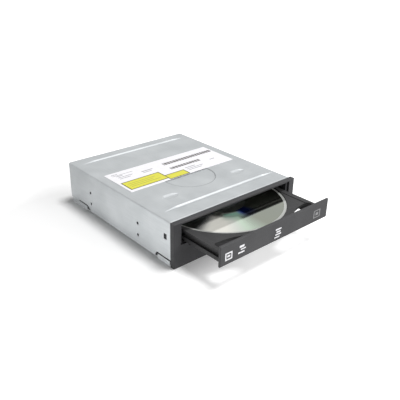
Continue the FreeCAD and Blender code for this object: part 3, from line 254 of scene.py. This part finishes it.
black = speckled("frame_moulding", (0.018, 0.018, 0.02), (0.03, 0.03, 0.032), 0.55, 1100)
for name in ("main_frame", "lift_frame", "turntable", "clamper"):
    finish_node(name, black)
acetal = speckled("natural_acetal", (0.66, 0.64, 0.57), (0.76, 0.74, 0.67), 0.32, 500, 0.01)
shader_of(acetal).inputs["Subsurface Weight"].default_value = 0.1
shader_of(acetal).inputs["Subsurface Radius"].default_value = (2 * mm, 1.8 * mm, 1.5 * mm)
for name in ("drive_gear", "pulley_gear", "motor_pulley", "cam_slide", "feed_nut"):
    finish_node(name, acetal)

# Rubber: the drive belt and the four dampers, moulded and dusted so that they don't stick.
# The belt is black and ground to size, the dampers are softer and bluish.
# Both are dull, with pale dust in patches.
rubber = speckled("belt_rubber", (0.012, 0.012, 0.012), (0.035, 0.035, 0.034), 0.7, 1600)
finish_node("drive_belt", rubber)
finish_node("dampers", speckled("damper_rubber", (0.03, 0.03, 0.045), (0.055, 0.055, 0.075), 0.62))


# Metal parts: ground guide rods and clamper yoke, drawn motor cans, the die-cast sled and the
# yellow-plated screws. The rods are polished by grinding round their length, the cans are
# satin, and the casting is grey and slightly pitted.
def metal(name, low, high, roughness, scale, stretch=(1, 1, 1)):
    """A bare metal between two tones, with marks drawn out where stretch is under 1."""
    material = surface(name, high, roughness, 1.0)
    marks = noise(material, scale, 3.0, stretch)
    to_shader(material, "Base Color", mixed(material, spread(material, marks, 0.0, 1.0), low, high))
    to_shader(material, "Roughness", spread(material, marks, roughness - 0.07, roughness + 0.1))
    bump(material, marks, 0.08, 0.02 * mm)
    return material


ground = metal("ground_steel", (0.55, 0.55, 0.56), (0.7, 0.7, 0.7), 0.2, 1500, (1, 0.1, 1))
for name in ("guide_rod_main", "guide_rod_sub", "clamper_yoke"):
    finish_node(name, ground)
can = metal("drawn_can", (0.45, 0.45, 0.46), (0.58, 0.58, 0.58), 0.34, 260, (1, 1, 0.1))
for name in ("loading_motor", "spindle_motor", "feed_motor"):
    finish_node(name, can)
finish_node("pickup_sled", metal("die_casting", (0.33, 0.34, 0.35), (0.46, 0.47, 0.48), 0.5, 420))
plated = metal("plated_screw", (0.5, 0.46, 0.36), (0.66, 0.62, 0.5), 0.3, 600)
for name in ("foot_screws", "bridge_screws", "damper_screws", "board_screws"):
    finish_node(name, plated)


# The lead screw is turned steel with a rolled three-millimetre thread, which the CAD's plain
# rod stands for. Its flanks are built here as one continuous helix inside the rod's width,
# closed by a plain journal at each end.
def screw_thread(name, x, z, y0, y1, outer, inner, lead):
    """A threaded rod along y about x and z, from y0 to y1."""
    around = 20
    rings_per_turn = 12
    run_out = 2 * mm
    rings = int((y1 - y0) / lead * rings_per_turn)
    points = []
    faces = []
    for ring in range(rings + 1):
        y = y0 + (y1 - y0) * ring / rings
        ends = max(0.0, min(1.0, (y - y0) / run_out, (y1 - y) / run_out))
        for step in range(around):
            angle = 2 * math.pi * step / around
            phase = (angle / (2 * math.pi) + (y - y0) / lead) % 1.0
            groove = max(0.0, 1.0 - abs(phase - 0.5) * 4.0)
            r = outer - (outer - inner) * groove * ends
            points.append((x + r * math.sin(angle), y, z + r * math.cos(angle)))
    for ring in range(rings):
        first = ring * around
        second = first + around
        for step in range(around):
            after = (step + 1) % around
            faces.append((first + step, first + after, second + after, second + step))
    faces.append(tuple(reversed(range(around))))
    faces.append(tuple(rings * around + step for step in range(around)))
    mesh = bpy.data.meshes.new(name)
    mesh.from_pydata(points, [], faces)
    mesh.validate()
    piece = bpy.data.objects.new(name, mesh)
    bpy.context.scene.collection.objects.link(piece)
    return piece


LEAD = 3 * mm
THREAD_DEPTH = 0.4 * mm
low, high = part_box("lead_screw")
screw_x = (low.x + high.x) / 2
screw_z = (low.z + high.z) / 2
screw_r = (high.x - low.x) / 2
root_r = screw_r - THREAD_DEPTH
thread = screw_thread("lead_screw_thread", screw_x, screw_z, low.y, high.y, screw_r, root_r, LEAD)
rolled = metal("rolled_steel", (0.5, 0.5, 0.5), (0.68, 0.67, 0.65), 0.24, 900)
thread.data.materials.append(rolled)
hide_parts("lead_screw")
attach(thread, "lead_screw_body")

# Light pipe, lens and lamp: clear moulded plastics and a coated glass lens.
# The light pipe is water-clear with a faint green cast, and the lamp behind it is tinted epoxy.
# They are glossy and let light through.
clear = surface("clear_moulding", (0.8, 0.9, 0.8), 0.12)
shader_of(clear).inputs["Transmission Weight"].default_value = 0.7
to_shader(clear, "Roughness", spread(clear, noise(clear, 300), 0.08, 0.2))
finish_node("led_lens", clear)
lens = surface("coated_lens", (0.45, 0.5, 0.8), 0.03)
shader_of(lens).inputs["Transmission Weight"].default_value = 0.6
to_shader(lens, "Base Color", mixed(lens, noise(lens, 200), (0.4, 0.45, 0.8), (0.6, 0.5, 0.75)))
finish_node("pickup_lens", lens)
finish_node("led", speckled("lamp_epoxy", (0.25, 0.5, 0.2), (0.35, 0.62, 0.28), 0.2))

# Circuit boards: glass-epoxy laminate under green solder mask, with copper tracks that show
# as paler green lines and a scatter of tinned pads.
# The packages on them are matt black epoxy and sleeved capacitors.
board = surface("solder_mask", (0.02, 0.12, 0.06), 0.3)
brick = board.node_tree.nodes.new("ShaderNodeTexBrick")
brick.inputs["Scale"].default_value = 260
brick.inputs["Mortar Size"].default_value = 0.08
brick.inputs["Color1"].default_value = (0.02, 0.13, 0.06, 1)
brick.inputs["Color2"].default_value = (0.016, 0.11, 0.055, 1)
brick.inputs["Mortar"].default_value = (0.05, 0.24, 0.11, 1)
link(board, place_node(board), brick.inputs["Vector"])
pads = board.node_tree.nodes.new("ShaderNodeTexVoronoi")
pads.inputs["Scale"].default_value = 320
link(board, place_node(board), pads.inputs["Vector"])
pad_mask = calc(board, "LESS_THAN", pads.outputs["Distance"], 0.16)
to_shader(board, "Base Color", mixed(board, pad_mask, brick.outputs["Color"], (0.6, 0.6, 0.55)))
to_shader(board, "Metallic", pad_mask)
finish_node("main_board", board)
finish_node("front_board", board)
epoxy = speckled("package_epoxy", (0.014, 0.014, 0.014), (0.03, 0.03, 0.03), 0.6, 1800)
finish_node("board_chips", epoxy)
finish_node("eject_switch", epoxy)
finish_node("board_capacitors", speckled("capacitor_sleeve", (0.05, 0.06, 0.13), (0.08, 0.09, 0.17), 0.3))


# Connectors at the back: black glass-filled headers, the white nylon power socket and jumper
# cap, and tinned or gilt square pins.
# The flat cable is white, and the pickup's flex is amber polyimide over copper.
def axis_value(material, axis):
    """One coordinate of the point in metres, 0 across, 1 in depth and 2 up."""
    tree = material.node_tree
    node = tree.nodes.get("split")
    if node is None:
        node = tree.nodes.new("ShaderNodeSeparateXYZ")
        node.name = "split"
        link(material, place_node(material), node.inputs["Vector"])
    return node.outputs[axis]


def wave(material, rate):
    """A sine across the drive, with its rate in radians to the metre."""
    return calc(material, "SINE", calc(material, "MULTIPLY", axis_value(material, 0), rate))


header = speckled("header_nylon", (0.018, 0.018, 0.018), (0.032, 0.032, 0.032), 0.5)
for name in ("ata_connector", "jumper_header", "audio_connector"):
    finish_node(name, header)
nylon = speckled("natural_nylon", (0.7, 0.69, 0.63), (0.8, 0.79, 0.73), 0.4, 700)
finish_node("power_connector", nylon)
finish_node("jumper_cap", nylon)
gilt = metal("gilt_pin", (0.66, 0.5, 0.22), (0.8, 0.64, 0.32), 0.22, 900)
finish_node("ata_pins", gilt)
finish_node("power_pins", gilt)
cores = surface("flat_cable", (0.8, 0.8, 0.8), 0.4)
core_line = spread(cores, wave(cores, 5000), 0.0, 1.0, -1, 1)
to_shader(cores, "Base Color", mixed(cores, core_line, (0.62, 0.63, 0.64), (0.85, 0.85, 0.84)))
finish_node("front_cable", cores)
amber = surface("polyimide_flex", (0.45, 0.2, 0.04), 0.25)
track_line = spread(amber, wave(amber, 6000), 0.0, 1.0, -1, 1)
to_shader(amber, "Base Color", mixed(amber, track_line, (0.4, 0.16, 0.03), (0.62, 0.32, 0.1)))
finish_node("pickup_flex", amber)

# Zinc-plated sheet: the top cover, the bottom plate, the clamper bridge and the traverse deck.
# They are pressed and folded from rolled steel with a pale satin plate, rolling grain along the
# drive, and edges lightened as wear and as a painted highlight. A line of painted shade runs along the
# pressed ring over the clamper.
RING_Y = -22.1 * mm
RING_R = 26.1 * mm
RING_SHADE_WIDTH = 0.45 * mm
TOP_LEVEL = 40.5 * mm


def distance_from(material, y):
    """The distance in plan from the place at y on the drive's middle line."""
    across = axis_value(material, 0)
    along = calc(material, "SUBTRACT", axis_value(material, 1), y)
    squares = [calc(material, "MULTIPLY", side, side) for side in (across, along)]
    return calc(material, "SQRT", calc(material, "ADD", *squares))


def base_colour(material):
    return shader_of(material).inputs["Base Color"].links[0].from_socket


def worn_and_highlit_edges(material, radius, worn_and_highlit_colour):
    """Lighten the colour of a finished material where its surface turns a corner, as wear and a painted
    highlight.
    """
    tree = material.node_tree
    rounded = tree.nodes.new("ShaderNodeBevel")
    rounded.samples = 6
    rounded.inputs["Radius"].default_value = radius
    flat = tree.nodes.new("ShaderNodeNewGeometry")
    along = tree.nodes.new("ShaderNodeVectorMath")
    along.operation = "DOT_PRODUCT"
    link(material, rounded.outputs["Normal"], along.inputs[0])
    link(material, flat.outputs["Normal"], along.inputs[1])
    edge = spread(material, along.outputs["Value"], 0.8, 0.0, 0.8, 0.995)
    to_shader(material, "Base Color", mixed(material, edge, base_colour(material), worn_and_highlit_colour))


zinc = surface("zinc_plate", (0.5, 0.51, 0.52), 0.36, 0.92)
cloud = noise(zinc, 38, 3.0)
grain = noise(zinc, 900, 2.0, (1, 0.05, 1))
zinc_tone = mixed(zinc, spread(zinc, cloud, 0.0, 1.0), (0.42, 0.44, 0.45), (0.49, 0.51, 0.52))
# A thin line of painted shade along the pressed ring's step, on the top only.
painted_ring_shade = calc(zinc, "COMPARE", distance_from(zinc, RING_Y), RING_R, RING_SHADE_WIDTH)
on_top = calc(zinc, "GREATER_THAN", axis_value(zinc, 2), TOP_LEVEL)
painted_ring_shade_strength = calc(zinc, "MULTIPLY", calc(zinc, "MULTIPLY", painted_ring_shade, on_top), 0.7)
zinc_tone = mixed(zinc, painted_ring_shade_strength, zinc_tone, (0.16, 0.17, 0.175))
to_shader(zinc, "Base Color", zinc_tone)
to_shader(zinc, "Roughness", spread(zinc, grain, 0.4, 0.52))
bump(zinc, grain, 0.05, 0.05 * mm)
worn_and_highlit_edges(zinc, 0.5 * mm, (0.72, 0.73, 0.74))
for name in ("top_cover", "bottom_cover", "clamper_bridge", "traverse_deck"):
    finish_node(name, zinc)


# Charcoal mouldings of the front: bezel, tray bezel, tray and eject button, all moulded ABS.
# Their faces carry a fine spark texture with a soft sheen, and the tray is a little smoother.
# The tray bezel carries pale printed signs, made of plain blocks and frames.
def inside(material, axis, low, high):
    """1 where the point lies between low and high on the axis, in metres."""
    half = (high - low) / 2
    middle = (high + low) / 2
    return calc(material, "COMPARE", axis_value(material, axis), middle, half)


def field(material, axes, x0, x1, y0, y1):
    """1 inside a rectangle given in millimetres on the two named axes."""
    across = inside(material, axes[0], x0 * mm, x1 * mm)
    along = inside(material, axes[1], y0 * mm, y1 * mm)
    return calc(material, "MULTIPLY", across, along)


def joined(material, masks):
    """1 where any of the masks is."""
    total = masks[0]
    for extra in masks[1:]:
        total = calc(material, "MAXIMUM", total, extra)
    return total


# The lighter edges of the bezel, tray and door are edge wear and a painted highlight.
bezel = speckled("bezel_moulding", (0.028, 0.028, 0.03), (0.038, 0.038, 0.041), 0.55, gloss=0.3)
worn_and_highlit_edges(bezel, 0.4 * mm, (0.075, 0.075, 0.08))
finish_node("front_bezel", bezel)
button = speckled("button_moulding", (0.026, 0.026, 0.028), (0.038, 0.038, 0.04), 0.45, gloss=0.35)
finish_node("eject_button", button)
tray_plastic = speckled(
    "tray_moulding", (0.034, 0.034, 0.035), (0.046, 0.046, 0.047), 0.55, 900, 0.015, 0.22,
)
worn_and_highlit_edges(tray_plastic, 0.3 * mm, (0.09, 0.09, 0.09))
finish_node("tray", tray_plastic)

DOOR_FACE = (BEZEL_BACK_Y - 51.3 * mm, BEZEL_BACK_Y - 50.85 * mm)
door = speckled("tray_bezel_moulding", (0.024, 0.024, 0.026), (0.034, 0.034, 0.036), 0.5, gloss=0.35)
worn_and_highlit_edges(door, 0.4 * mm, (0.08, 0.08, 0.085))
door_signs = (
    (-61.0, -53.4, 31.2, 32.4), (-61.0, -53.4, 25.6, 26.8),
    (-61.0, -59.8, 25.6, 32.4), (-54.6, -53.4, 25.6, 32.4), (-59.0, -55.6, 28.2, 29.8),
    (-45.6, -40.4, 31.4, 33.4), (-44.2, -38.6, 29.2, 30.4), (-47.0, -40.0, 26.4, 27.8),
    (-3.6, 3.4, 31.6, 33.0), (-2.6, 2.4, 29.2, 30.6), (-3.6, 3.4, 27.0, 28.2), (-4.6, 1.6, 24.6, 25.6),
)
faint_signs = (
    (46.6, 55.6, 32.6, 33.4), (46.6, 55.6, 26.0, 26.8),
    (46.6, 47.6, 26.0, 33.4), (54.6, 55.6, 26.0, 33.4), (49.4, 52.8, 28.4, 31.0),
)


def signs(fields):
    """1 on the door's front face inside the given fields."""
    front_only = inside(door, 1, *DOOR_FACE)
    masks = [field(door, (0, 2), *edges) for edges in fields]
    return calc(door, "MULTIPLY", front_only, joined(door, masks))


bright = signs(door_signs)
faint = signs(faint_signs)
worn = spread(door, noise(door, 700, 2.0), 0.7, 1.0)
door_tone = mixed(door, calc(door, "MULTIPLY", bright, worn), base_colour(door), (0.72, 0.72, 0.74))
door_tone = mixed(door, calc(door, "MULTIPLY", faint, worn), door_tone, (0.22, 0.22, 0.225))
to_shader(door, "Base Color", door_tone)
finish_node("tray_bezel", door)

# The disc is moulded polycarbonate over a vacuum-metallised layer, played side up.
# Its spiral track's fans of colour and its mirror's reflections are painted into its colour by
# bearing round the hub: a teal and green fan, a navy patch near the hub and a cream silver elsewhere.
DISC_Y = BEZEL_BACK_Y + 18.9 * mm
HUB_R = 15 * mm
CLAMPED_RING = (18.5 * mm, 3.5 * mm)
RIM_R = 57.5 * mm
PAINTED_NAVY_FADE = (28 * mm, 39 * mm)
PAINTED_TEAL_START = (23 * mm, 26 * mm)
PAINTED_FAN_START = (28 * mm, 33 * mm)
disc = surface("disc_mirror", (0.3, 0.31, 0.28), 0.06, 0.9)
from_y = calc(disc, "SUBTRACT", axis_value(disc, 1), DISC_Y)
bearing = calc(disc, "MULTIPLY", calc(disc, "ARCTAN2", from_y, axis_value(disc, 0)), 180 / math.pi)
radius = distance_from(disc, DISC_Y)
painted_reflection_fans = disc.node_tree.nodes.new("ShaderNodeValToRGB")
link(disc, spread(disc, bearing, 0.0, 1.0, -180, 180), painted_reflection_fans.inputs["Fac"])
# Each stop is a bearing round the hub in degrees, 0 on the right and -90 towards the tray's door,
# with the painted reflection or colour fan seen there.
painted_reflection_stops = (
    (-180, (0.3, 0.31, 0.29)), (-152, (0.4, 0.4, 0.39)), (-143, (0.76, 0.75, 0.69)),
    (-128, (0.74, 0.73, 0.67)), (-118, (0.6, 0.63, 0.58)), (-109, (0.5, 0.62, 0.5)),
    (-98, (0.38, 0.44, 0.37)), (-88, (0.29, 0.31, 0.26)), (-60, (0.28, 0.3, 0.26)),
    (-20, (0.3, 0.31, 0.26)), (30, (0.34, 0.33, 0.3)), (48, (0.66, 0.7, 0.62)),
    (62, (0.42, 0.56, 0.5)), (80, (0.32, 0.32, 0.3)), (140, (0.36, 0.36, 0.33)),
    (180, (0.3, 0.31, 0.29)),
)
ramp = painted_reflection_fans.color_ramp
ramp.elements[0].color = (*painted_reflection_stops[0][1], 1)
ramp.elements[1].color = (*painted_reflection_stops[-1][1], 1)
for degrees, colour in painted_reflection_stops[1:-1]:
    ramp.elements.new((degrees + 180) / 360).color = (*colour, 1)


def wedge(middle, half, soft):
    """1 within half degrees of a bearing, fading out over soft degrees more."""
    away = calc(disc, "ABSOLUTE", calc(disc, "SUBTRACT", bearing, middle))
    return spread(disc, away, 1.0, 0.0, half, half + soft)


# The teal fan and the navy patch near the hub are painted colour fans of the track's diffraction.
near_hub = spread(disc, radius, 1.0, 0.0, *PAINTED_NAVY_FADE)
off_hub = spread(disc, radius, 0.0, 1.0, *PAINTED_TEAL_START)
painted_teal_fan = calc(disc, "MULTIPLY", calc(disc, "MULTIPLY", near_hub, off_hub), wedge(-112, 14, 10))
painted_navy_patch = calc(disc, "MULTIPLY", near_hub, wedge(-82, 8, 12))
disc_tone = mixed(disc, painted_teal_fan, painted_reflection_fans.outputs["Color"], (0.17, 0.3, 0.24))
disc_tone = mixed(disc, painted_navy_patch, disc_tone, (0.01, 0.04, 0.3))
rim = calc(disc, "GREATER_THAN", radius, RIM_R)
disc_tone = mixed(disc, rim, disc_tone, (0.46, 0.47, 0.45))
clamped = calc(disc, "COMPARE", radius, *CLAMPED_RING)
disc_tone = mixed(disc, clamped, disc_tone, (0.5, 0.52, 0.5))
hub = calc(disc, "LESS_THAN", radius, HUB_R)
disc_tone = mixed(disc, hub, disc_tone, (0.72, 0.74, 0.72))
to_shader(disc, "Base Color", disc_tone)
# The cream fan is a painted highlight. It, the painted teal fan and the clear rim are made matt so that
# they show their colour.
outer = spread(disc, radius, 0.0, 1.0, *PAINTED_FAN_START)
painted_highlight_fan = calc(disc, "MULTIPLY", outer, wedge(-127, 20, 8))
painted_light_and_rim_matt = joined(disc, [painted_highlight_fan, painted_teal_fan, rim])
to_shader(disc, "Metallic", spread(disc, painted_light_and_rim_matt, 0.98, 0.3, 0.0, 1.0))
dust = noise(disc, 4000, 2.0)
to_shader(disc, "Roughness", spread(disc, dust, 0.05, 0.08))
finish_node("disc", disc)

# The rating label is a coated paper sticker on the top cover, with two bright yellow blocks in a
# dark outline, two rows of fine grey bars and short rows of small print.
# All of its print is plain blocks and bars.
label = surface("label_paper", (0.86, 0.86, 0.86), 0.5)
paper = noise(label, 240, 3.0)
tone = mixed(label, spread(label, paper, 0.0, 1.0), (0.85, 0.84, 0.87), (0.9, 0.89, 0.92))


def label_mask(fields):
    """1 inside the fields, given in millimetres across and behind the bezel's back face."""
    start = BEZEL_BACK_Y / mm
    masks = [field(label, (0, 1), x0, x1, start + y0, start + y1) for x0, x1, y0, y1 in fields]
    return joined(label, masks)


def printed(under, fields, colour):
    return mixed(label, label_mask(fields), under, colour)


block_outlines = ((-61.4, -17.6, 71.8, 90.0), (-19, 5.6, 68.4, 79.4))
tone = printed(tone, block_outlines, (0.1, 0.09, 0.02))
blocks = ((-60.2, -18.8, 73.0, 88.8), (-17.8, 4.4, 69.6, 78.2))
tone = printed(tone, blocks, (0.68, 0.65, 0.05))
block_lines = ((-57, -24, 77.4, 78.2), (-57, -30, 80.6, 81.4), (-57, -26, 83.8, 84.6))
tone = printed(tone, block_lines, (0.4, 0.38, 0.06))
bar_rows = ((-2.6, 61.4, 99.225, 104.425), (-3, 35, 86.625, 91.225))
uneven = calc(label, "ADD", wave(label, 5200), wave(label, 1730))
bars = calc(label, "MULTIPLY", calc(label, "GREATER_THAN", uneven, -1.0), label_mask(bar_rows))
tone = mixed(label, bars, tone, (0.09, 0.08, 0.08))
small_print = (
    (-56, -49, 104.4, 105.6), (-56, -40, 101.2, 102.2), (-56, -44, 98.2, 99.2),
    (-30, -17, 99.6, 101.0), (-30, -20, 96.8, 97.8), (-59, -52, 109.6, 110.6), (-59, -36, 107.0, 107.8),
    (9, 22, 80.4, 81.6), (9, 30, 77.4, 78.4), (9, 26, 74.4, 75.4), (44, 50, 82.4, 83.6),
)
tone = printed(tone, small_print, (0.3, 0.3, 0.32))
to_shader(label, "Base Color", tone)
bump(label, paper, 0.1, 0.02 * mm)
finish_node("rating_label", label)
